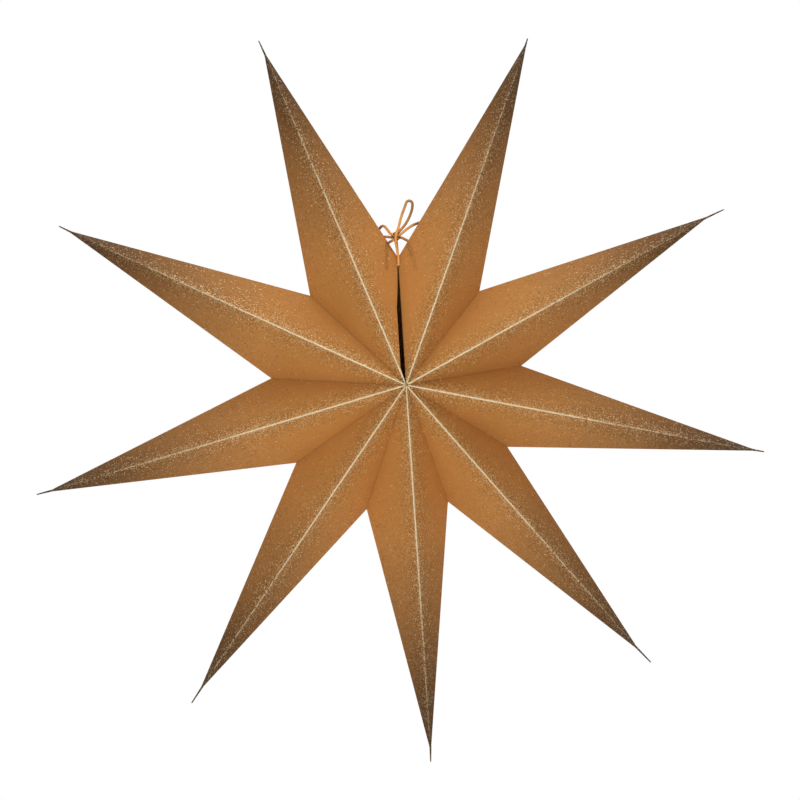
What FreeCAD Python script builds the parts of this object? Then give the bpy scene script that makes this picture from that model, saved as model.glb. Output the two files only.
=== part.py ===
import FreeCAD, Part
import Sketcher
import math
import os

# Folded paper star lantern: nine hollow points of creased paper, opened like a fan
# and tied shut at the top by one leather cord with a bow and a hanging loop.
# Frame: origin at the top of the hanging loop, where a hook carries the star.
# +X to the right, +Y to the back, +Z up. All sizes in millimetres and degrees.

POINTS = 9

SIZES = (
    ("tip_reach", 300.0, "axis to the end of a point, mean of all points"),
    ("tip_stretch", 8.8, "how much the reach of the tips grows towards one side"),
    ("tip_stretch_side", 195.5, "direction of the longest points"),
    ("tip_turn", 2.83, "turn of all tips about the axis"),
    ("tip_swing", 3.72, "uneven opening of the fan, at the tips"),
    ("tip_swing_side", 196.4, "direction in which the tips swing most"),
    ("valley_reach", 101.1, "axis to the outline's inner corners, mean"),
    ("valley_stretch", 7.3, "how much that reach grows towards one side"),
    ("valley_stretch_side", 184.0, "direction of the deepest sides"),
    ("valley_turn", 2.98, "turn of all inner corners about the axis"),
    ("valley_swing", 4.16, "uneven opening of the fan, at the inner corners"),
    ("valley_swing_side", 151.5, "direction in which the corners swing most"),
    ("seam_lean", -1.4, "turn of the tied corner from its even place"),
    ("seam_pull", 2.2, "how far the tie draws the tied corner outwards"),
    ("half_depth", 75.0, "mid plane to the front or back apex"),
    ("paper_inset", 0.48, "paper thickness, measured across the mid plane"),
    ("flap_width", 9.5, "glued band along each valley fold, inside the star"),
    ("seam_tied", 7.4, "closed end of the seam, from the tied corner"),
    ("seam_gap", 3.5, "widest opening of the unglued seam"),
    ("gap_top", 62.0, "axis to the upper shoulder of the opening"),
    ("gap_foot", 14.0, "axis to the lower shoulder of the opening"),
    ("pinch_root", 1.7, "pinched tip, thickness where it leaves the point"),
    ("pinch_end", 0.9, "pinched tip, thickness at its end"),
    ("pinch_bite", 5.0, "length of the pinched tip inside the point"),
    ("cord_diameter", 2.2, "round leather cord"),
    ("cord_clearance", 0.5, "play of the cord in its eyelet"),
    ("eyelet_drop", 6.3, "tied corner to the centre of the eyelet"),
    ("corner_side", -9.1, "hook to the tied corner, sideways"),
    ("corner_drop", 45.3, "hook to the tied corner, downwards"),
    ("knot_width", 3.8, "half width of the knot's core"),
    ("knot_height", 3.6, "half height of the knot's core"),
    ("knot_depth", 2.4, "half depth of the knot's core"),
    ("knot_turn_radius", 2.0, "middle of the one turn of cord round the core"),
    ("knot_side", -1.6, "tied corner to the knot's centre, sideways"),
    ("knot_rise", 17.2, "tied corner to the knot's centre, upwards"),
)

# Each point ends in a stick of paper pinched together by hand. Its length and its
# lean from the ridge, clockwise round the star from the seam.
PINCHES = ((2.2, 3), (12.6, -4), (4.7, 1), (12.8, 2.5), (7.5, -3), (11.5, 1), (8.3, -2), (6.7, -1.5), (9.3, 1.5))

# Routes of the cord, as points in millimetres from the tied corner. The hanging cord
# starts in the knot, goes down the back, through the eyelet and up the front, passes
# over the knot and makes the loop for the hook.
HANGING_ROUTE = (
    (-1.4, 1.4, 15.6), (-0.8, 1.8, 8.0), (0.1, 1.9, 1.4), (0.4, 5.8, -3.2), (0.4, 5.0, -6.5), (0.4, 1.5, -6.2),
    (0.4, -1.5, -6.4), (0.4, -5.0, -6.5), (0.4, -5.8, -3.2), (0.1, -1.9, 1.4), (-0.8, -2.0, 7.2),
    (-2.1, -3.9, 12.8), (-1.7, -4.6, 18.2), (0.2, -3.6, 23.2), (1.4, -2.0, 28.4), (3.2, -0.9, 34.8), (5.9, -0.1, 42.0),
    (6.9, 0.1, 44.9), (8.9, 0.3, 45.9), (10.8, 0.5, 45.1), (11.8, 0.6, 43.0), (11.2, 0.8, 38.2), (9.1, 1.0, 32.4),
    (6.2, 1.2, 27.0), (2.2, 1.2, 22.4), (-1.2, 1.0, 18.6),
)
LEFT_LOOP_ROUTE = (
    (-2.0, -0.6, 18.4), (-5.6, -0.6, 18.2), (-8.4, -0.4, 22.4), (-12.0, 0.8, 26.4), (-15.6, 4.4, 23.0),
    (-17.8, 9.8, 18.2), (-15.8, 9.8, 14.8), (-11.8, 3.4, 17.0), (-7.8, 1.6, 16.8), (-2.6, 1.0, 15.8),
)
RIGHT_LOOP_ROUTE = (
    (-0.6, -0.8, 17.4), (2.4, -0.8, 18.8), (6.3, -0.6, 22.4), (11.0, 0.0, 25.6), (15.8, 1.4, 27.8),
    (20.6, 6.6, 29.2), (24.2, 13.0, 26.2), (22.4, 16.2, 20.4), (17.4, 13.8, 15.6), (12.6, 8.2, 13.0),
    (8.6, 3.2, 13.2), (5.0, 1.4, 15.2), (1.8, 1.0, 16.4), (-1.4, 1.0, 16.4),
)
LEFT_TAIL_ROUTE = (
    (-2.9, -0.9, 14.4), (-5.6, 0.4, 13.3), (-9.0, 5.0, 11.2), (-11.0, 12.8, 5.0), (-8.8, 18.0, -5.0), (-7.2, 24.0, -15.0),
)

doc = FreeCAD.newDocument("PaperStar")

tips = []
for k, (length, lean) in enumerate(PINCHES, start=1):
    tips.append((f"pinch_{k}", length, f"length of the stick at the end of point {k}"))
    tips.append((f"pinch_lean_{k}", lean, f"turn of that stick from the point's ridge"))

sheet = doc.addObject("Spreadsheet::Sheet", "sizes")
for row, (alias, value, meaning) in enumerate([*SIZES, *tips], start=1):
    sheet.set(f"A{row}", alias)
    sheet.set(f"B{row}", str(value))
    sheet.set(f"C{row}", meaning)
    sheet.setAlias(f"B{row}", alias)
doc.recompute()

UPRIGHT = FreeCAD.Rotation(FreeCAD.Vector(1, 0, 0), 90)


def number(formula):
    """Value of a formula on the sheet's sizes."""
    return float(sheet.evalExpression(formula))


def bind(item, sizes):
    """Tie properties of an object to formulas on the sheet."""
    for name, formula in sizes.items():
        item.setExpression(name, formula)
    return item


def uneven(kind, place):
    """Reach and direction of a tip or valley, whose even direction is place."""
    reach = f"(sizes.{kind}_reach + sizes.{kind}_stretch * cos({place} - sizes.{kind}_stretch_side))"
    turned = f"({place} + sizes.{kind}_turn + sizes.{kind}_swing * cos({place} - sizes.{kind}_swing_side))"
    return reach, turned


def tip(k):
    """Reach and direction of the end of point k, counted clockwise from the seam."""
    return uneven("tip", f"{90 - 360 / POINTS * (k - 0.5)}")


def valley(k):
    """Reach and direction of the inner corner after point k; corner 0 is the tied one."""
    reach, turned = uneven("valley", f"{90 - 360 / POINTS * (k % POINTS)}")
    if k % POINTS == 0:
        return f"({reach} + sizes.seam_pull)", f"({turned} + sizes.seam_lean)"
    return reach, turned


def corner(reach, direction, aside="0"):
    """Across and up from the star's axis, at a reach in a direction, and a little aside of it."""
    across = f"{reach} * cos({direction}) - {aside} * sin({direction})"
    up = f"{reach} * sin({direction}) + {aside} * cos({direction})"
    return across, up


SEAM_REACH, SEAM_DIRECTION = valley(0)
AXIS_X = f"(sizes.corner_side - {SEAM_REACH} * cos({SEAM_DIRECTION}))"
AXIS_Z = f"(-sizes.corner_drop - {SEAM_REACH} * sin({SEAM_DIRECTION}))"


def outline(name, corners):
    """Closed sketch on the star's mid plane, round the corners."""
    sketch = doc.addObject("Sketcher::SketchObject", name)
    sketch.Placement = FreeCAD.Placement(FreeCAD.Vector(), UPRIGHT)
    bind(sketch, {"Placement.Base.x": AXIS_X, "Placement.Base.z": AXIS_Z})
    spots = [FreeCAD.Vector(number(across), number(up), 0) for across, up in corners]
    for i, spot in enumerate(spots):
        sketch.addGeometry(Part.LineSegment(spot, spots[(i + 1) % len(spots)]))
    for i, (across, up) in enumerate(corners):
        sketch.addConstraint(Sketcher.Constraint("Coincident", i - 1 if i else len(spots) - 1, 2, i, 1))
        for kind, formula in (("DistanceX", across), ("DistanceY", up)):
            held = sketch.addConstraint(Sketcher.Constraint(kind, -1, 1, i, 1, number(formula)))
            sketch.setExpression(f"Constraints[{held}]", formula)
    return sketch


def apex(name, depth, across="0", up="0"):
    """Corner of the folded paper in front of or behind the mid plane."""
    spot = doc.addObject("Part::Vertex", name)
    return bind(spot, {"X": f"{AXIS_X} + {across}", "Y": depth, "Z": f"{AXIS_Z} + {up}"})


def spindle(name, front, middle, back):
    """Solid with flat triangular faces from an outline to an apex on each side."""
    solid = doc.addObject("Part::Loft", name)
    solid.Sections = [front, middle, back]
    solid.Solid = True
    solid.Ruled = True
    return solid


def cut(name, base, tool):
    """Base without tool."""
    result = doc.addObject("Part::Cut", name)
    result.Base = base
    result.Tool = tool
    result.Refine = True
    return result


def fuse(name, pieces):
    """One solid of several."""
    result = doc.addObject("Part::MultiFuse", name)
    result.Shapes = pieces
    result.Refine = True
    return result


def to_the_front(name, sketch):
    """The sketch cut through the star's front half."""
    prism = doc.addObject("Part::Extrusion", name)
    prism.Base = sketch
    prism.DirMode = "Custom"
    prism.Dir = FreeCAD.Vector(0, -1, 0)
    prism.Solid = True
    return bind(prism, {"LengthFwd": "1.5 * sizes.half_depth"})


def hole_along_depth(name, sizes):
    """Round hole from front to back."""
    drill = doc.addObject("Part::Cylinder", name)
    drill.Placement = FreeCAD.Placement(FreeCAD.Vector(), UPRIGHT)
    return bind(drill, {"Height": "3 * sizes.half_depth", "Placement.Base.y": "1.5 * sizes.half_depth", **sizes})


# The nine points share the two apexes and open into one space for the lamp.
front_apex = apex("front_apex", "-sizes.half_depth")
back_apex = apex("back_apex", "sizes.half_depth")

# An even point: the reach of its walls across the mid plane, and from there the depth
# of a hollow whose walls run parallel to the paper's outside.
HALF_SECTOR = 180 / POINTS
WALL_RUN = (
    f"(sizes.tip_reach * sizes.valley_reach * sin({HALF_SECTOR}) / sqrt(sizes.tip_reach ^ 2"
    f" + sizes.valley_reach ^ 2 - 2 * sizes.tip_reach * sizes.valley_reach * cos({HALF_SECTOR})))"
)
HOLLOW_DEPTH = (
    f"sizes.half_depth * (1 - sizes.paper_inset / {WALL_RUN}"
    f" - sizes.paper_inset / (sizes.tip_reach * sin({HALF_SECTOR})))"
)

# The lamp space leaves a band of the given width along every valley fold.
FOLD_TO_AXIS = "(sizes.valley_reach * sizes.half_depth / sqrt(sizes.valley_reach ^ 2 + sizes.half_depth ^ 2))"
LAMP_SHARE = f"(1 - sizes.flap_width / {FOLD_TO_AXIS})"
lamp_outline = outline("lamp_outline", [
    corner(f"{LAMP_SHARE} * {reach}", direction) for reach, direction in (valley(k) for k in range(POINTS))
])
lamp_space = spindle(
    "lamp_space",
    apex("lamp_front", f"-sizes.half_depth * {LAMP_SHARE}"),
    lamp_outline,
    apex("lamp_back", f"sizes.half_depth * {LAMP_SHARE}"),
)

# The unglued seam: at the front it gapes beside the last point, widest in its middle,
# and at the back its two edges meet.
OPENING_TOP = f"({SEAM_REACH} - sizes.seam_tied)"
seam_opening = to_the_front("seam_opening", outline("seam_outline", [
    corner("0", SEAM_DIRECTION),
    corner(OPENING_TOP, SEAM_DIRECTION),
    corner("sizes.gap_top", SEAM_DIRECTION, "sizes.seam_gap"),
    corner("sizes.gap_foot", SEAM_DIRECTION, "sizes.seam_gap"),
]))
UPPER_SLANT = f"({OPENING_TOP} - sizes.gap_top) / sizes.seam_gap"
LOWER_SLANT = "sizes.gap_foot / sizes.seam_gap"
seam_margin = to_the_front("seam_margin", outline("seam_margin_outline", [
    corner(f"(-sizes.paper_inset * {LOWER_SLANT})", SEAM_DIRECTION),
    corner(f"({OPENING_TOP} + sizes.paper_inset * {UPPER_SLANT})", SEAM_DIRECTION),
    corner("sizes.gap_top", SEAM_DIRECTION, "(sizes.seam_gap + sizes.paper_inset)"),
    corner("sizes.gap_foot", SEAM_DIRECTION, "(sizes.seam_gap + sizes.paper_inset)"),
]))

# The eyelet for the cord, through both points beside the seam.
eyelet_x, eyelet_z = corner(f"({SEAM_REACH} - sizes.eyelet_drop)", SEAM_DIRECTION)
eyelet = hole_along_depth("eyelet", {
    "Radius": "sizes.cord_diameter / 2 + sizes.cord_clearance",
    "Placement.Base.x": f"{AXIS_X} + {eyelet_x}",
    "Placement.Base.z": f"{AXIS_Z} + {eyelet_z}",
})


def pinched_tip(k):
    """Stick of pinched paper at the end of point k."""
    reach, direction = tip(k)
    root_x, root_z = corner(f"({reach} - sizes.pinch_{k} - sizes.pinch_bite)", direction)
    stick = doc.addObject("Part::Cone", f"pinch_stick_{k}")
    stick.Placement = FreeCAD.Placement(FreeCAD.Vector(), FreeCAD.Rotation(FreeCAD.Vector(0, 1, 0), 10))
    return bind(stick, {
        "Radius1": "sizes.pinch_root / 2",
        "Radius2": "sizes.pinch_end / 2",
        "Height": f"sizes.pinch_{k} + sizes.pinch_bite",
        "Placement.Base.x": f"{AXIS_X} + {root_x}",
        "Placement.Base.z": f"{AXIS_Z} + {root_z}",
        "Placement.Rotation.Angle": f"90 - {direction} - sizes.pinch_lean_{k}",
    })


def folded_point(k):
    """One hollow point: four creased walls and the flaps that it is glued by."""
    reach, direction = tip(k)
    before_reach, before = valley(k - 1)
    after_reach, after = valley(k)
    if k == POINTS:
        after = f"({after} - 360)"
    kite = outline(f"kite_{k}", [
        corner("0", direction),
        corner(before_reach, before),
        corner(f"({reach} - sizes.pinch_{k})", direction),
        corner(after_reach, after),
    ])
    blank = spindle(f"blank_{k}", front_apex, kite, back_apex)
    inner_kite = doc.addObject("Part::Offset2D", f"inner_kite_{k}")
    inner_kite.Source = kite
    inner_kite.Join = "Intersection"
    bind(inner_kite, {"Value": "-sizes.paper_inset"})
    middle = f"(({before} + {after}) / 2)"
    set_back = f"(sizes.paper_inset / sin(({before} - {after}) / 2))"
    back_x, back_z = corner(set_back, middle)
    hollow = spindle(
        f"hollow_{k}",
        apex(f"hollow_front_{k}", f"-{HOLLOW_DEPTH}", back_x, back_z),
        inner_kite,
        apex(f"hollow_back_{k}", HOLLOW_DEPTH, back_x, back_z),
    )
    if k == POINTS:
        blank = cut(f"seam_blank_{k}", blank, seam_opening)
        hollow = cut(f"seam_hollow_{k}", hollow, seam_margin)
    walls = cut(f"walls_{k}", blank, hollow)
    open_walls = cut(f"open_walls_{k}", walls, lamp_space)
    point = fuse(f"pinched_point_{k}", [open_walls, pinched_tip(k)])
    if k in (1, POINTS):
        point = cut(f"tied_point_{k}", point, eyelet)
    point.Label = f"point_{k}"
    return point


def cord_path(points):
    """Straight runs joined by the largest arcs that the runs leave room for."""
    edges = []
    radii = []
    start = points[0]
    for before, here, after in zip(points, points[1:], points[2:]):
        into, onward = here - before, after - here
        half_turn = into.getAngle(onward) / 2
        trim = 0.45 * min(into.Length, onward.Length)
        radius = trim / math.tan(half_turn)
        toward, away = FreeCAD.Vector(into).normalize(), FreeCAD.Vector(onward).normalize()
        first, last = here - toward * trim, here + away * trim
        inward = (away - toward).normalize()
        crown = here + inward * (radius / math.cos(half_turn) - radius)
        edges.append(Part.LineSegment(start, first).toShape())
        edges.append(Part.Arc(first, crown, last).toShape())
        radii.append(radius)
        start = last
    edges.append(Part.LineSegment(start, points[-1]).toShape())
    return Part.Wire(edges), radii


def cord(name, route):
    """Round cord along a route that starts at the tied corner."""
    thickness = number("sizes.cord_diameter")
    path, radii = cord_path([FreeCAD.Vector(*point) for point in route])
    first_run = path.Edges[0]
    profile = Part.Wire(Part.makeCircle(thickness / 2, first_run.valueAt(first_run.FirstParameter),
                                        first_run.tangentAt(first_run.FirstParameter)))
    tube = path.makePipeShell([profile], True, True)
    strand = doc.addObject("Part::Feature", f"{name}_strand")
    strand.Shape = tube
    strand.Placement.Base = FreeCAD.Vector(number("sizes.corner_side"), 0, -number("sizes.corner_drop"))
    section = math.pi * thickness ** 2 / 4
    print(f"{name}: {path.Length:.1f} mm, tightest bend {min(radii):.2f} mm,"
          f" volume {tube.Volume / section / path.Length:.4f} of section times length")
    return strand


def knot_piece(kind, name, sizes, tilt=0):
    """Round primitive at the middle of the knot."""
    piece = doc.addObject(kind, name)
    piece.Placement = FreeCAD.Placement(FreeCAD.Vector(), FreeCAD.Rotation(FreeCAD.Vector(0, 1, 0), tilt))
    return bind(piece, {
        "Placement.Base.x": "sizes.corner_side + sizes.knot_side",
        "Placement.Base.z": "sizes.knot_rise - sizes.corner_drop",
        **sizes,
    })


nodes = [folded_point(k) for k in range(1, POINTS + 1)]

# The bow's knot: the strands bunched in a core, with one turn of cord round them.
knot_core = knot_piece("Part::Ellipsoid", "knot_core", {
    "Radius1": "sizes.knot_height",
    "Radius2": "sizes.knot_width",
    "Radius3": "sizes.knot_depth",
})
knot_turn = knot_piece("Part::Torus", "knot_turn", {
    "Radius1": "sizes.knot_turn_radius",
    "Radius2": "sizes.cord_diameter / 2",
}, tilt=18)
knot = fuse("knot_pieces", [knot_core, knot_turn])
knot.Label = "bow_knot"
nodes.append(knot)

for name, route in (
    ("hanging_cord", HANGING_ROUTE),
    ("left_bow_loop", LEFT_LOOP_ROUTE),
    ("right_bow_loop", RIGHT_LOOP_ROUTE),
    ("left_tail", LEFT_TAIL_ROUTE),
):
    strand = cut(f"{name}_cut", cord(name, route), knot)
    strand.Label = name
    nodes.append(strand)

doc.recompute()
for item in doc.Objects:
    if "Invalid" in item.State or "Error" in item.State:
        raise RuntimeError(f"{item.Name} failed: {item.State}")
for node in nodes:
    if node.Shape.isNull() or not node.Shape.isValid():
        raise RuntimeError(f"{node.Label} has no valid shape")
    print(f"{node.Label}: {len(node.Shape.Solids)} solid, {node.Shape.Volume:.1f} mm3")

os.makedirs("parts", exist_ok=True)
for node in nodes:
    node.Shape.exportStep(f"parts/{node.Label}.step")
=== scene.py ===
import math

import bpy
from bpy.props import FloatProperty, FloatVectorProperty, PointerProperty
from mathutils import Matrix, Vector


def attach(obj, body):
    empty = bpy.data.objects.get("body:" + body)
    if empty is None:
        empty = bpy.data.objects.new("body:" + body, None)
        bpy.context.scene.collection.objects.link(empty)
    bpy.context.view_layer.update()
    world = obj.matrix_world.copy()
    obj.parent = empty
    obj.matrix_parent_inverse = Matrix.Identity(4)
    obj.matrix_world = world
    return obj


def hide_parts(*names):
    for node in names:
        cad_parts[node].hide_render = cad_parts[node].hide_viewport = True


bl_info = {
    "name": "Folded Paper Star",
    "version": (1, 0, 0),
    "blender": (4, 5, 0),
    "location": "3D View > Sidebar > Paper Star",
    "description": "Dresses a hollow folded paper star and the leather cord that ties and hangs it",
    "category": "Object",
}

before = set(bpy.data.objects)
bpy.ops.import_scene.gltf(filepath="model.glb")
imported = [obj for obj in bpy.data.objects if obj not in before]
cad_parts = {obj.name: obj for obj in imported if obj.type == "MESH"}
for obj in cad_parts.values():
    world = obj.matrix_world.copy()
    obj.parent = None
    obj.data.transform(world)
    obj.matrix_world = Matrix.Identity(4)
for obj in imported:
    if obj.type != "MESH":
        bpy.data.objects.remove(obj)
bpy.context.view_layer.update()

POINT_NODES = sorted(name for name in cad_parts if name.startswith("point_"))

# A corner this near to the star's mid plane lies on it.
ON_PLANE = 1e-5


def front_apex():
    """Place where all ridges meet at the front, from the first point's mesh."""
    corners = [v.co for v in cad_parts[POINT_NODES[0]].data.vertices]
    return min(corners, key=lambda corner: corner.y).copy()


APEX = front_apex()
AXIS = Vector((APEX.x, 0, APEX.z))

# The corner of the paper that the cord ties, seen from the hook at the origin, and the
# cord's routes as control points in metres from that corner.
TIED_CORNER = Vector((-0.0091, 0, -0.0453))
HANGING_ROUTE = (
    (-0.0014, 0.0014, 0.0156), (-0.0008, 0.0018, 0.0080), (0.0001, 0.0019, 0.0014),
    (0.0004, 0.0058, -0.0032), (0.0004, 0.0050, -0.0065), (0.0012, 0.0018, -0.0066),
    (-0.0004, -0.0018, -0.0067), (0.0004, -0.0058, -0.0072), (0.0004, -0.0060, -0.0036),
    (0.0001, -0.0019, 0.0014), (-0.0008, -0.0020, 0.0072), (-0.0021, -0.0039, 0.0128),
    (-0.0017, -0.0046, 0.0182), (0.0002, -0.0036, 0.0232), (0.0014, -0.0020, 0.0284),
    (0.0032, -0.0009, 0.0348), (0.0059, -0.0001, 0.0420), (0.0069, 0.0001, 0.0449),
    (0.0089, 0.0003, 0.0459), (0.0108, 0.0005, 0.0451), (0.0118, 0.0006, 0.0430),
    (0.0112, 0.0008, 0.0382), (0.0091, 0.0010, 0.0324), (0.0062, 0.0012, 0.0270),
    (0.0022, 0.0012, 0.0224), (-0.0012, 0.0010, 0.0186),
)
LEFT_LOOP_ROUTE = (
    (-0.0020, -0.0006, 0.0184), (-0.0056, -0.0006, 0.0182), (-0.0084, -0.0004, 0.0224),
    (-0.0120, 0.0008, 0.0264), (-0.0156, 0.0044, 0.0230), (-0.0178, 0.0098, 0.0182),
    (-0.0158, 0.0098, 0.0148), (-0.0118, 0.0034, 0.0170), (-0.0078, 0.0016, 0.0168),
    (-0.0026, 0.0010, 0.0158),
)
RIGHT_LOOP_ROUTE = (
    (-0.0006, -0.0008, 0.0174), (0.0024, -0.0008, 0.0188), (0.0063, -0.0006, 0.0224),
    (0.0110, 0.0000, 0.0256), (0.0158, 0.0014, 0.0278), (0.0206, 0.0066, 0.0292),
    (0.0242, 0.0130, 0.0262), (0.0224, 0.0162, 0.0204), (0.0174, 0.0138, 0.0156),
    (0.0126, 0.0082, 0.0130), (0.0086, 0.0032, 0.0132), (0.0050, 0.0014, 0.0152),
    (0.0018, 0.0010, 0.0164), (-0.0014, 0.0010, 0.0164),
)
LEFT_TAIL_ROUTE = (
    (-0.0029, -0.0009, 0.0144), (-0.0056, 0.0004, 0.0133), (-0.0090, 0.0050, 0.0112),
    (-0.0110, 0.0128, 0.0050), (-0.0088, 0.0180, -0.0050), (-0.0072, 0.0240, -0.0150),
)


class PaperSettings(bpy.types.PropertyGroup):
    """Colours and sizes of the printed paper."""

    glitter: FloatVectorProperty(
        name="Glitter", description="Gold flecks near the middle", subtype="COLOR", size=3, min=0, max=1,
        default=(1.0, 0.71, 0.36),
    )
    dull_glitter: FloatVectorProperty(
        name="Dull glitter", description="Gold flecks near the tips", subtype="COLOR", size=3, min=0, max=1,
        default=(0.46, 0.32, 0.17),
    )
    # Ridge colours: a pale line on each ridge, partly a painted highlight on the rounded fold.
    ridge: FloatVectorProperty(
        name="Ridge", description="Pale worn line along the ridges", subtype="COLOR", size=3, min=0, max=1,
        default=(1.0, 0.84, 0.55),
    )
    dull_ridge: FloatVectorProperty(
        name="Dull ridge", description="Pale worn line near the tips", subtype="COLOR", size=3, min=0, max=1,
        default=(0.44, 0.30, 0.16),
    )
    ridge_width: FloatProperty(
        name="Ridge width", description="Width of the pale line", subtype="DISTANCE", unit="LENGTH",
        default=0.0012, min=0.0002, max=0.01,
    )
    band_width: FloatProperty(
        name="Band width", description="How far the gold flecks spread from a ridge", subtype="DISTANCE",
        unit="LENGTH", default=0.004, min=0.0005, max=0.05,
    )
    # The fold width and fold shade size the painted shade beside each valley fold.
    fold_width: FloatProperty(
        name="Fold width", description="How far the shade reaches beside a valley fold",
        subtype="DISTANCE", unit="LENGTH", default=0.009, min=0.0005, max=0.05,
    )
    fold_shade: FloatProperty(
        name="Fold shade", description="How much darker the paper is in a valley fold", subtype="FACTOR",
        default=0.08, min=0.0, max=1.0,
    )
    fleck: FloatProperty(
        name="Fleck", description="Size of one fleck", subtype="DISTANCE", unit="LENGTH", default=0.0007,
        min=0.0002, max=0.01,
    )


class CordSettings(bpy.types.PropertyGroup):
    """Colour and thickness of the leather cord, and the colour of its painted shade."""

    leather: FloatVectorProperty(
        name="Leather", description="Colour of the cord", subtype="COLOR", size=3, min=0, max=1,
        default=(1.0, 0.47, 0.115),
    )
    # The cord's painted shade: the colour it darkens to underneath, at the bow's ends and in the knot.
    underside: FloatVectorProperty(
        name="Underside", description="Colour of the cord's underside", subtype="COLOR", size=3, min=0, max=1,
        default=(0.10, 0.036, 0.007),
    )
    thickness: FloatProperty(
        name="Thickness", description="Diameter of the cord", subtype="DISTANCE", unit="LENGTH",
        default=0.0022, min=0.0005, max=0.01,
    )


class StudioSettings(bpy.types.PropertyGroup):
    """Camera and lamps."""

    camera_distance: FloatProperty(
        name="Camera distance", description="Camera to the star's mid plane", subtype="DISTANCE",
        unit="LENGTH", default=2.4, min=0.5, max=20,
    )
    view_width: FloatProperty(
        name="View width", description="Width of the picture at the star", subtype="DISTANCE", unit="LENGTH",
        default=0.6416, min=0.1, max=5,
    )
    sky: FloatProperty(
        name="Sky", description="Light of the white surroundings on the star", default=0.1, min=0, max=1,
    )
    brightness: FloatProperty(
        name="Brightness", description="Strength of all lamps together", default=1.0, min=0, max=10,
    )


class Wire:
    """Output of a shader node. Arithmetic with wires, and comparing them, adds Math nodes."""

    def __init__(self, sheet, socket):
        self.sheet = sheet
        self.socket = socket

    def maths(self, operation, *values):
        return self.sheet.add("ShaderNodeMath", {"operation": operation}, *values)

    def __add__(self, other):
        return self.maths("ADD", self, other)

    def __radd__(self, other):
        return self.maths("ADD", other, self)

    def __sub__(self, other):
        return self.maths("SUBTRACT", self, other)

    def __rsub__(self, other):
        return self.maths("SUBTRACT", other, self)

    def __mul__(self, other):
        return self.maths("MULTIPLY", self, other)

    def __rmul__(self, other):
        return self.maths("MULTIPLY", other, self)

    def __truediv__(self, other):
        return self.maths("DIVIDE", self, other)

    def __pow__(self, other):
        return self.maths("POWER", self, other)

    def __lt__(self, other):
        return self.maths("LESS_THAN", self, other)

    def __abs__(self):
        return self.maths("ABSOLUTE", self)

    def ease(self, start, end):
        """0 at start and 1 at end, with a soft passage."""
        settings = {"interpolation_type": "SMOOTHSTEP"}
        return self.sheet.add("ShaderNodeMapRange", settings, self, start, end, 0.0, 1.0)

    def ramp(self, *stops):
        """Colour read from stops, each a place and a colour."""
        return self.sheet.add("ShaderNodeValToRGB", {"stops": stops}, self)

    def mix(self, operation, *other):
        """Vector sum, difference or direction."""
        return self.sheet.add("ShaderNodeVectorMath", {"operation": operation}, self, *other)

    def scaled(self, factor):
        """Colour or vector times a number."""
        return self.sheet.add("ShaderNodeVectorMath", {"operation": "SCALE"}, self, Scale=factor)

    def parts(self, kind):
        """The numbers that a vector or colour is made of."""
        outputs = self.sheet.add(kind, {}, self).socket.node.outputs
        return [Wire(self.sheet, output) for output in outputs]


class Sheet:
    """Shader nodes of a material or of the world."""

    def __init__(self, owner):
        self.owner = owner
        owner.use_nodes = True
        owner.node_tree.nodes.clear()

    def add(self, kind, settings, *values, output=0, **named):
        """Node of a kind: its settings first, then values or wires for its sockets."""
        node = self.owner.node_tree.nodes.new(kind)
        for key, value in settings.items():
            if key == "stops":
                for _ in value[2:]:
                    node.color_ramp.elements.new(0.5)
                for stop, (place, colour) in zip(node.color_ramp.elements, value):
                    stop.position = place
                    stop.color = (*colour, 1)
            else:
                setattr(node, key, value)
        sockets = list(zip(node.inputs, values))
        sockets += [(node.inputs[key.replace("_", " ")], value) for key, value in named.items()]
        for socket, value in sockets:
            if isinstance(value, Wire):
                self.owner.node_tree.links.new(value.socket, socket)
            elif value is not None:
                socket.default_value = (*value, 1) if socket.type == "RGBA" else value
        return Wire(self, node.outputs[output] if node.outputs else None)

    def colours(self, factor, first, second):
        """Mix of two colours."""
        between = [None] * 5
        return self.add("ShaderNodeMix", {"data_type": "RGBA"}, factor, *between, first, second, output=2)

    def place(self):
        """Place on the object, whole and as three numbers."""
        whole = self.add("ShaderNodeTexCoord", {}, output=3)
        return whole, whole.parts("ShaderNodeSeparateXYZ")

    def noise(self, place, size, detail=2.0):
        """Cloudy pattern from 0 to 1 with patches of a size in metres."""
        return self.add("ShaderNodeTexNoise", {}, place, None, 1 / size, detail, 0.55)

    def flecks(self, place, size):
        """Three random numbers for every fleck of a size in metres."""
        cells = self.add("ShaderNodeTexVoronoi", {}, place, None, 1 / size, output=1)
        return cells.parts("ShaderNodeSeparateColor")

    def finish(self, **sockets):
        """Principled surface with these sockets, as the material."""
        surface = self.add("ShaderNodeBsdfPrincipled", {}, **sockets)
        self.add("ShaderNodeOutputMaterial", {}, surface)
        return self.owner


# Painted shade in the soft creases that the tie draws in the front of the paper, and painted shade in the top
# of the seam, for each point that has them: start and end as sideways and upward places, width, depth.
CREASES = {
    1: (
        ((-0.0011, -0.0340), (0.0018, -0.0430), 0.0032, 0.22),
        ((0.0018, -0.0440), (0.0046, -0.0540), 0.0034, 0.15),
        ((-0.0090, -0.0530), (-0.0080, -0.0860), 0.0007, 0.90),
    ),
    9: (
        ((-0.0182, -0.0340), (-0.0182, -0.0550), 0.0026, 0.28),
        ((-0.0182, -0.0330), (-0.0140, -0.0395), 0.0016, 0.40),
        ((-0.0091, -0.0530), (-0.0085, -0.0860), 0.0012, 0.95),
    ),
}

# Colour of the print from the middle of the star to the end of a point.
PRINT = (
    (0.0, (0.61, 0.275, 0.07)),
    (0.4, (0.64, 0.29, 0.08)),
    (0.6, (0.45, 0.205, 0.062)),
    (0.8, (0.22, 0.10, 0.032)),
    (1.0, (0.08, 0.055, 0.034)),
)

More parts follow.
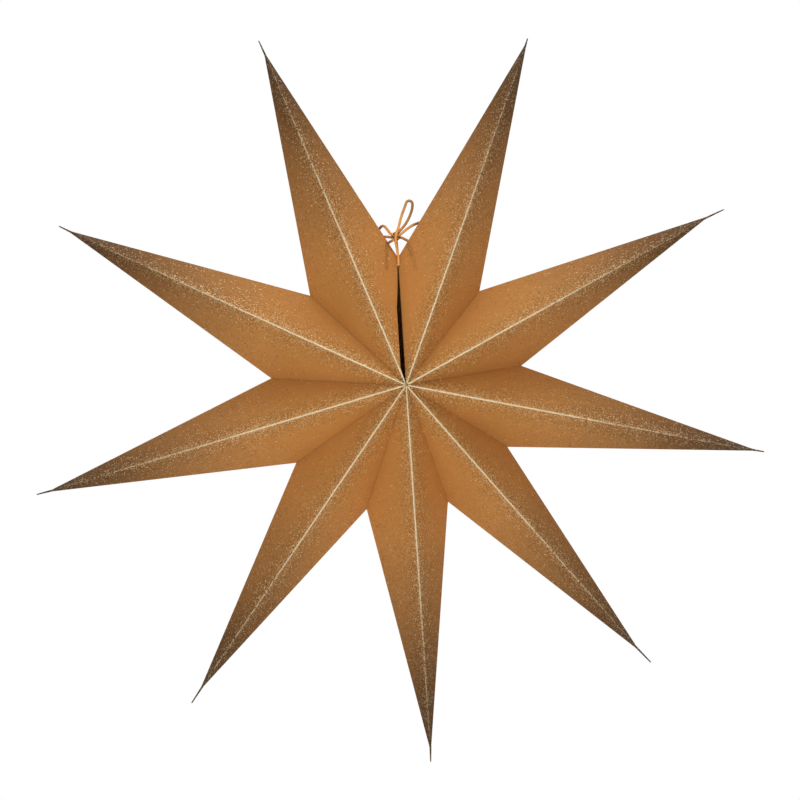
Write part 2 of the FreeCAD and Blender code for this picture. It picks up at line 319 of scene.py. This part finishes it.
# Sizes of the patterns in the paper, in metres.
PAPER_GRAIN = 0.0012
PAPER_FIBRES = 0.006
PAPER_CLOUDS = 0.045

# Half the width of the strip of dark flecks, and how far the pale ridge line's edge wanders.
DARK_STRIP = 0.015
LINE_WANDER = 0.0006

# How far from the axis the paper has painted shade, and where the pale ridge lines start.
APEX_SHADE = 0.008
LINE_START = (0.0005, 0.0025)


def folded_shape(node):
    """Corners of a point's outline from the axis, clockwise: inner corner, tip, inner corner."""
    flat = [v.co - AXIS for v in node.data.vertices if abs(v.co.y) < ON_PLANE]
    tip = max(flat, key=lambda corner: corner.length)
    heading = tip.normalized()
    reach = [(corner.dot(heading), corner.z * heading.x - corner.x * heading.z, corner) for corner in flat]
    before = max(reach, key=lambda item: item[1])[2]
    after = min(reach, key=lambda item: item[1])[2]
    return before, tip, after


def distance_from(line, across, up):
    """Distance of a place from a line through the axis, more than 0 on the line's left."""
    heading = line.normalized()
    return up * heading.x - across * heading.z


def crease_shade(crease, x, y, z):
    """Painted shade of the paper's front in a soft crease: 1 beside it, darker in its middle."""
    (start_x, start_z), (end_x, end_z), width, depth = crease
    run_x, run_z = end_x - start_x, end_z - start_z
    share = ((x - start_x) * run_x + (z - start_z) * run_z) / (run_x ** 2 + run_z ** 2)
    share = share.maths("MINIMUM", share.maths("MAXIMUM", share, 0.0), 1.0)
    off_x, off_z = x - start_x - share * run_x, z - start_z - share * run_z
    away = (off_x * off_x + off_z * off_z) ** 0.5
    return 1 - away.ease(width, 0.0) * (y < 0.0) * depth


def printed_paper(node, look):
    """Brown paper of one point: flecks along its ridge, a print that darkens to its tip, painted shade in its
    folds, at the axis and in its creases, and a pale ridge line that is partly a painted highlight.
    """
    number = int(node.name.rpartition("_")[2])
    before, tip, after = folded_shape(node)
    sheet = Sheet(bpy.data.materials.new(f"printed_paper_{number}"))
    spot, (x, y, z) = sheet.place()
    across, up = x - AXIS.x, z - AXIS.z
    heading = tip.normalized()
    along = (across * heading.x + up * heading.z) / tip.length
    aside = abs(distance_from(tip, across, up))

    grain = sheet.noise(spot, PAPER_GRAIN, 3.0)
    clouds = sheet.noise(spot, PAPER_CLOUDS, 3.0)
    fibres = sheet.noise(spot, PAPER_FIBRES, 4.0)

    # Painted shade of the paper in its valley folds, at the axis and in its creases, and its uneven tone.
    beside = sum(
        abs(distance_from(fold, across, up)).ease(look.fold_width, 0.0) for fold in (before, after)
    )
    # Painted shade on the crease line of each valley fold.
    fold_crease_shade = beside.ease(0.93, 1.0)
    uneven = (0.93 + clouds * 0.14) * (0.85 + fibres * 0.12 + grain * 0.18)
    from_axis = (across * across + up * up) ** 0.5
    # Painted shade near the axis, where all the points meet.
    hollow = from_axis.ease(0.0, APEX_SHADE) * 0.55 + 0.45
    tone = (1 - beside * look.fold_shade) * (1 - fold_crease_shade * 0.1) * uneven * hollow
    # Painted shade in the tie's creases and in the top of the seam.
    for crease in CREASES.get(number, ()):
        tone = tone * crease_shade(crease, x, y, z)

    # The print: dark and gold flecks, thickest along the ridge.
    gold_chance, dark_chance, shine = sheet.flecks(spot, look.fleck)
    band = aside.maths("EXPONENT", 0 - aside / look.band_width)
    far = along.ease(0.18, 0.5)
    gold = gold_chance < band * 0.46 * (1 - along * 0.75) + far * 0.014
    dark = dark_chance < aside.ease(DARK_STRIP, 0.0) * 0.32 + far * 0.1
    colour = along.ramp(*PRINT).scaled(tone * (1 - dark * 0.42))
    gilt = sheet.colours(along.ease(0.45, 1.0), look.glitter, look.dull_glitter)
    # The random shine of each gold fleck is a painted glint.
    colour = sheet.colours(gold * 0.8, colour, gilt.scaled(0.75 + shine * 0.4))

    # The pale line on the ridge, which breaks up towards the tip.
    # It is partly a painted highlight on the rounded fold, and each fleck's shine in it is a painted glint.
    half = look.ridge_width / 2 * (1.05 - along * 0.35) * (0.75 + along.ease(0.0, 0.2) * 0.25)
    edge = (aside + (grain - 0.5) * LINE_WANDER) / half
    broken, _, _ = sheet.flecks(spot, look.fleck * 1.6)
    line = edge.ease(1.3, 0.7) * (broken < 1.1 - along.ease(0.25, 1.0) * 0.7)
    line = line * along.ease(0.96, 0.88) * from_axis.ease(*LINE_START)
    highlit = sheet.colours(along.ease(0.3, 1.0), look.ridge, look.dull_ridge)
    colour = sheet.colours(line, colour, highlit.scaled(0.8 + shine * 0.3))

    # Gold flecks face many ways, the pale ridge line faces front or back, and the paper is a little rough.
    facing = sheet.add("ShaderNodeNewGeometry", {}, output=1)
    facet = sheet.add("ShaderNodeTexVoronoi", {}, spot, None, 1 / look.fleck, output=1)
    facet = facet.mix("SUBTRACT", (0.5, 0.5, 0.5)).scaled(gold * 0.4)
    outward = sheet.add("ShaderNodeCombineXYZ", {}, 0.0, y.maths("SIGN", y) * line * 0.9)
    facing = facing.mix("ADD", facet).mix("ADD", outward).mix("NORMALIZE")
    height = clouds * 0.8 + fibres * 0.10 + grain * 0.06
    relief = sheet.add("ShaderNodeBump", {}, 0.8, 0.0005, Height=height, Normal=facing)
    return sheet.finish(
        Base_Color=colour,
        Metallic=gold * 0.18,
        Roughness=0.66 - gold * 0.26,
        Specular_IOR_Level=0.12,
        Normal=relief,
    )


# Sizes of the patterns in the leather, in metres.
LEATHER_GRAIN = 0.0007
LEATHER_PATCHES = 0.004

# Start and end of the leather's painted light and shade: lighter towards the front, painted shade out to the
# left and the right where the bow goes behind the paper, and up the hanging loop.
LIT_FRONT = (-0.0002, -0.0018)
LEFT_TUCK = (-0.0205, -0.0235)
RIGHT_TUCK = (0.0000, 0.0060)
LOOP_RISE = (-0.024, -0.006)


def tan_leather(look, knotted=False):
    """Smooth light leather with painted light and shade: palest at the front, painted shade underneath, at
    the bow's ends, up the hanging loop and in the knot.
    """
    sheet = Sheet(bpy.data.materials.new("knot_leather" if knotted else "cord_leather"))
    spot, (x, y, z) = sheet.place()
    grain = sheet.noise(spot, LEATHER_GRAIN, 3.0)
    patches = sheet.noise(spot, LEATHER_PATCHES)
    highlit = y.ease(*LIT_FRONT)
    tucked = x.ease(*LEFT_TUCK) + x.ease(*RIGHT_TUCK)
    upward = sheet.add("ShaderNodeNewGeometry", {}, output=1).parts("ShaderNodeSeparateXYZ")[2]
    base = Vector(look.leather)
    colour = sheet.colours(patches.ease(0.35, 0.7), tuple(base * 0.85), tuple(base))
    # Painted light on the front strand, and painted shade up the hanging loop.
    colour = colour.scaled(0.68 + highlit * 0.34 - z.ease(*LOOP_RISE) * 0.18)
    # Painted shade on downward faces, less on the front strand, and at the bow's ends where they go behind
    # the paper.
    dark = upward.ease(-0.15 - highlit * 0.25, -0.85) * 0.9
    dark = dark.maths("MAXIMUM", dark, tucked * 0.7)
    height = grain * 0.3
    # The knot gets painted shade all over and darker painted shadows between its turns.
    if knotted:
        turned = sheet.add("ShaderNodeMapping", {"vector_type": "TEXTURE"}, spot, None, (0.2, 0.5, 0.3))
        turns = sheet.add("ShaderNodeTexWave", {"bands_direction": "Z"}, turned, 140.0, 1.0, output=1)
        dark = dark.maths("MAXIMUM", dark, 0.45 + turns.ease(0.75, 0.3) * 0.5)
        height = height + turns * 2.0
    colour = sheet.colours(dark, colour, look.underside)
    relief = sheet.add("ShaderNodeBump", {}, 0.5, 0.0004, Height=height)
    return sheet.finish(Base_Color=colour, Roughness=0.45, Normal=relief, Specular_IOR_Level=0.35)


def cord_along(name, route, thickness):
    """Smooth round cord whose control points are the route's."""
    curve = bpy.data.curves.new(name, "CURVE")
    curve.dimensions = "3D"
    curve.bevel_depth = thickness / 2
    curve.bevel_resolution = 4
    curve.resolution_u = 8
    curve.use_fill_caps = True
    spline = curve.splines.new("NURBS")
    spline.points.add(len(route) - 1)
    for point, place in zip(spline.points, route):
        point.co = (*(TIED_CORNER + Vector(place)), 1)
    spline.order_u = 3
    spline.use_endpoint_u = True
    cord = bpy.data.objects.new(name, curve)
    bpy.context.collection.objects.link(cord)
    return cord


class STAR_OT_print_paper(bpy.types.Operator):
    """Give each folded point its printed and glittered paper"""

    bl_idname = "star.print_paper"
    bl_label = "Print Paper"

    def execute(self, context):
        look = context.scene.star_paper
        for name in POINT_NODES:
            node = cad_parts[name]
            node.data.materials.clear()
            node.data.materials.append(printed_paper(node, look))
        return {"FINISHED"}


class STAR_OT_tie_cord(bpy.types.Operator):
    """Lay the cord's strands and colour the knot"""

    bl_idname = "star.tie_cord"
    bl_label = "Tie Cord"

    def execute(self, context):
        look = context.scene.star_cord
        leather = tan_leather(look)
        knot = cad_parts["bow_knot"]
        knot.data.materials.clear()
        knot.data.materials.append(tan_leather(look, knotted=True))
        for node, route, length, far_end in (
            ("hanging_cord", HANGING_ROUTE, 0.122, "knot"),
            ("left_bow_loop", LEFT_LOOP_ROUTE, 0.047, "knot"),
            ("right_bow_loop", RIGHT_LOOP_ROUTE, 0.073, "knot"),
            ("left_tail", LEFT_TAIL_ROUTE, 0.042, "bare"),
        ):
            cord = cord_along(f"{node}_leather", route, look.thickness)
            cord.data.materials.append(leather)
            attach(cord, "root")
            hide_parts(node)
        return {"FINISHED"}


def softbox(name, place, aim, size, power):
    """Square soft lamp at a place, turned to an aim."""
    lamp = bpy.data.lights.new(name, "AREA")
    lamp.shape = "SQUARE"
    lamp.size = size
    lamp.energy = power
    box = bpy.data.objects.new(name, lamp)
    box.location = place
    box.rotation_euler = (aim - Vector(place)).to_track_quat("-Z", "Y").to_euler()
    box.visible_camera = False
    bpy.context.collection.objects.link(box)


FLOOR_LEVEL = -1.05
FLOOR_WIDTH = 6.0

# Middle of the picture, on the star's mid plane.
PICTURE_CENTRE = Vector((-0.0075, 0, -0.1595))

# Name, place, width and power of each soft lamp round the star.
LAMPS = (
    ("ceiling_lamp", (0.0, 0.0, 2.8), 5.0, 60.0),
    ("overhead_lamp", (0.0, -0.15, 1.3), 1.0, 4.2),
    ("front_lamp", (0.0, -2.6, 0.2), 1.2, 20.6),
    ("lower_front_lamp", (0.0, -1.8, -0.8), 1.2, 8.5),
    ("lower_left_lamp", (-1.1, -0.9, -0.8), 0.9, 1.2),
    ("back_lamp", (0.0, 2.6, 0.2), 1.2, 20.6),
    ("lower_back_lamp", (0.0, 1.8, -0.8), 1.2, 8.5),
)


class STAR_OT_set_stage(bpy.types.Operator):
    """Make the floor, the white surroundings, the lamps and the camera"""

    bl_idname = "star.set_stage"
    bl_label = "Set Stage"

    def execute(self, context):
        scene = context.scene
        studio = scene.star_studio

        bpy.ops.object.select_all(action="DESELECT")
        bpy.ops.mesh.primitive_plane_add(size=FLOOR_WIDTH, location=(0, 0, FLOOR_LEVEL))
        floor = context.object
        floor.name = "studio_floor"
        pale = Sheet(bpy.data.materials.new("pale_floor"))
        floor.data.materials.append(pale.finish(Base_Color=(0.82, 0.82, 0.82), Roughness=0.9))

        scene.world = bpy.data.worlds.new("white_surroundings")
        sky = Sheet(scene.world)
        path = sky.add("ShaderNodeLightPath", {}).socket.node.outputs
        seen = [Wire(sky, path[f"Is {kind} Ray"]) for kind in ("Camera", "Glossy", "Transmission")]
        white = seen[0].maths("MAXIMUM", seen[0], seen[1].maths("MAXIMUM", seen[1], seen[2]))
        strength = studio.sky + white * (1 - studio.sky)
        background = sky.add("ShaderNodeBackground", {}, (1, 1, 1), strength)
        sky.add("ShaderNodeOutputWorld", {}, background)

        for name, place, size, power in LAMPS:
            softbox(name, place, PICTURE_CENTRE, size, power * studio.brightness)

        lens = bpy.data.cameras.new("front_camera")
        lens.sensor_width = 36
        lens.lens = lens.sensor_width * studio.camera_distance / studio.view_width
        lens.clip_end = 50
        camera = bpy.data.objects.new("front_camera", lens)
        camera.location = PICTURE_CENTRE + Vector((0, -studio.camera_distance, 0))
        camera.rotation_euler = (math.pi / 2, 0, 0)
        context.collection.objects.link(camera)
        scene.camera = camera
        scene.view_settings.view_transform = "Standard"
        return {"FINISHED"}


class STAR_PT_panel(bpy.types.Panel):
    """Sidebar panel with the star's pieces and stage"""

    bl_idname = "STAR_PT_panel"
    bl_label = "Paper Star"
    bl_space_type = "VIEW_3D"
    bl_region_type = "UI"
    bl_category = "Paper Star"

    def draw(self, context):
        layout = self.layout
        for group, operator in (
            (context.scene.star_paper, STAR_OT_print_paper),
            (context.scene.star_cord, STAR_OT_tie_cord),
            (context.scene.star_studio, STAR_OT_set_stage),
        ):
            box = layout.box()
            for name in group.__annotations__:
                box.prop(group, name)
            box.operator(operator.bl_idname)


CLASSES = (
    PaperSettings,
    CordSettings,
    StudioSettings,
    STAR_OT_print_paper,
    STAR_OT_tie_cord,
    STAR_OT_set_stage,
    STAR_PT_panel,
)


def register():
    for item in CLASSES:
        bpy.utils.register_class(item)
    bpy.types.Scene.star_paper = PointerProperty(type=PaperSettings)
    bpy.types.Scene.star_cord = PointerProperty(type=CordSettings)
    bpy.types.Scene.star_studio = PointerProperty(type=StudioSettings)


def unregister():
    del bpy.types.Scene.star_studio
    del bpy.types.Scene.star_cord
    del bpy.types.Scene.star_paper
    for item in reversed(CLASSES):
        bpy.utils.unregister_class(item)


def main():
    """Dress the star, tie the cord and set the stage."""
    register()
    bpy.ops.star.print_paper()
    bpy.ops.star.tie_cord()
    bpy.ops.star.set_stage()


if __name__ == "__main__":
    main()
